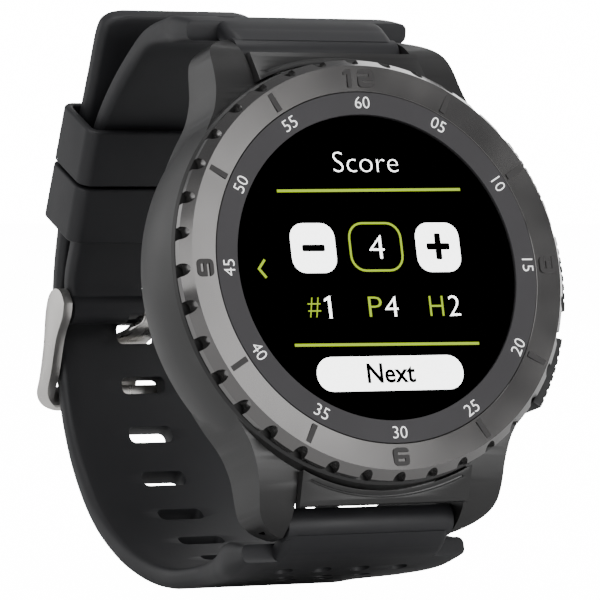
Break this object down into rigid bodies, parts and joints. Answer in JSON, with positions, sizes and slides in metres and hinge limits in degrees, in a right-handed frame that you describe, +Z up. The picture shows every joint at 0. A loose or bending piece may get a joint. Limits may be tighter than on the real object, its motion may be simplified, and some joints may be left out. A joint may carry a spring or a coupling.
{
  "type": "golf gps watch",
  "caption": "Round golf GPS watch with a notched bezel, side buttons and a pin-buckle silicone strap closed as if on a wrist.",
  "frame": {"origin": "centre of the case back's flat outer face, where the watch lies on the wrist", "axes": "+X towards 3 o'clock, +Y away from the dial towards the buckle, +Z up; the watch leans back 13.78 degrees, so 12 o'clock is up and back"},
  "size_m": [0.0522, 0.0752, 0.07],
  "materials": {
    "case_plastic": "moulded satin, fine spark texture",
    "bezel_ceramic": "polished gunmetal ceramic",
    "ring_satin": "satin dark grey with white minute numbers",
    "cover_glass": "gloss",
    "strap_silicone": "matte moulded silicone",
    "buckle_steel": "satin",
    "bar_steel": "turned",
    "screw_steel": "dark plated",
    "button_plastic": "satin black",
    "seal_rubber": "matte",
    "board_laminate": "solder mask",
    "shield_tin": "tinned sheet",
    "battery_foil": "foil pouch",
    "antenna_ceramic": "fired ceramic",
    "flex_film": "polyimide film",
    "contact_gold": "gold plated",
    "sensor_window": "gloss black"
  },
  "bodies": {
    "case": {"battery": "battery_foil", "bezel": "bezel_ceramic", "board_shield": "shield_tin", "charge_pin_1": "contact_gold", "charge_pin_2": "contact_gold", "charge_pin_3": "contact_gold", "charge_pin_4": "contact_gold", "cover_glass": "cover_glass", "display_flex": "flex_film", "display_panel": "sensor_window", "end_panel_lower": "case_plastic", "end_panel_upper": "case_plastic", "glass_gasket": "seal_rubber", "gps_antenna": "antenna_ceramic", "inner_chassis": "button_plastic", "main_board": "board_laminate", "mid_case": "case_plastic", "minute_ring": "ring_satin", "processor": "sensor_window", "rear_cover": "case_plastic", "rear_gasket": "seal_rubber", "rear_screw_1": "screw_steel", "rear_screw_2": "screw_steel", "rear_screw_3": "screw_steel", "rear_screw_4": "screw_steel", "sensor_window": "sensor_window", "spring_bar_upper": "bar_steel", "tact_switch_lower": "shield_tin", "tact_switch_middle": "shield_tin", "tact_switch_upper": "shield_tin", "vibration_motor": "shield_tin"},
    "strap_loop": {"buckle_strap": "strap_silicone", "hole_strap": "strap_silicone", "fixed_keeper": "strap_silicone", "spring_bar_lower": "bar_steel", "spring_bar_buckle": "bar_steel"},
    "buckle": {"buckle_frame": "buckle_steel"},
    "tongue": {"buckle_tongue": "buckle_steel"},
    "keeper": {"free_keeper": "strap_silicone"},
    "button_upper_set": {"button_upper": "button_plastic", "button_seal_upper": "seal_rubber", "button_clip_upper": "screw_steel"},
    "button_middle_set": {"button_middle": "button_plastic", "button_seal_middle": "seal_rubber", "button_clip_middle": "screw_steel"},
    "button_lower_set": {"button_lower": "button_plastic", "button_seal_lower": "seal_rubber", "button_clip_lower": "screw_steel"}
  },
  "joints": [
    {"name": "strap_swing", "type": "hinge", "parent": "case", "child": "strap_loop", "pos_m": [0, 0.00235, 0.02805], "axis": [1, 0, 0], "range_deg": [0, 12]},
    {"name": "buckle_lift", "type": "hinge", "parent": "strap_loop", "child": "buckle", "pos_m": [0, 0.04774, -0.00265], "axis": [1, 0, 0], "range_deg": [0, 3]},
    {"name": "tongue_lift", "type": "hinge", "parent": "buckle", "child": "tongue", "pos_m": [0, 0.04774, -0.00265], "axis": [1, 0, 0], "range_deg": [0, 5]},
    {"name": "keeper_slide", "type": "slide", "parent": "strap_loop", "child": "keeper", "axis": [0, -0.4071, 0.9134], "range_m": [0, 0.001]},
    {"name": "button_upper_press", "type": "slide", "parent": "case", "child": "button_upper_set", "axis": [-0.8949, -0.1063, -0.4334], "range_m": [0, 0.0006], "stiffness_N_per_m": 500},
    {"name": "button_middle_press", "type": "slide", "parent": "case", "child": "button_middle_set", "axis": [-1, 0, 0], "range_m": [0, 0.0006], "stiffness_N_per_m": 500},
    {"name": "button_lower_press", "type": "slide", "parent": "case", "child": "button_lower_set", "axis": [-0.8949, 0.1063, 0.4334], "range_m": [0, 0.0006], "stiffness_N_per_m": 500}
  ]
}
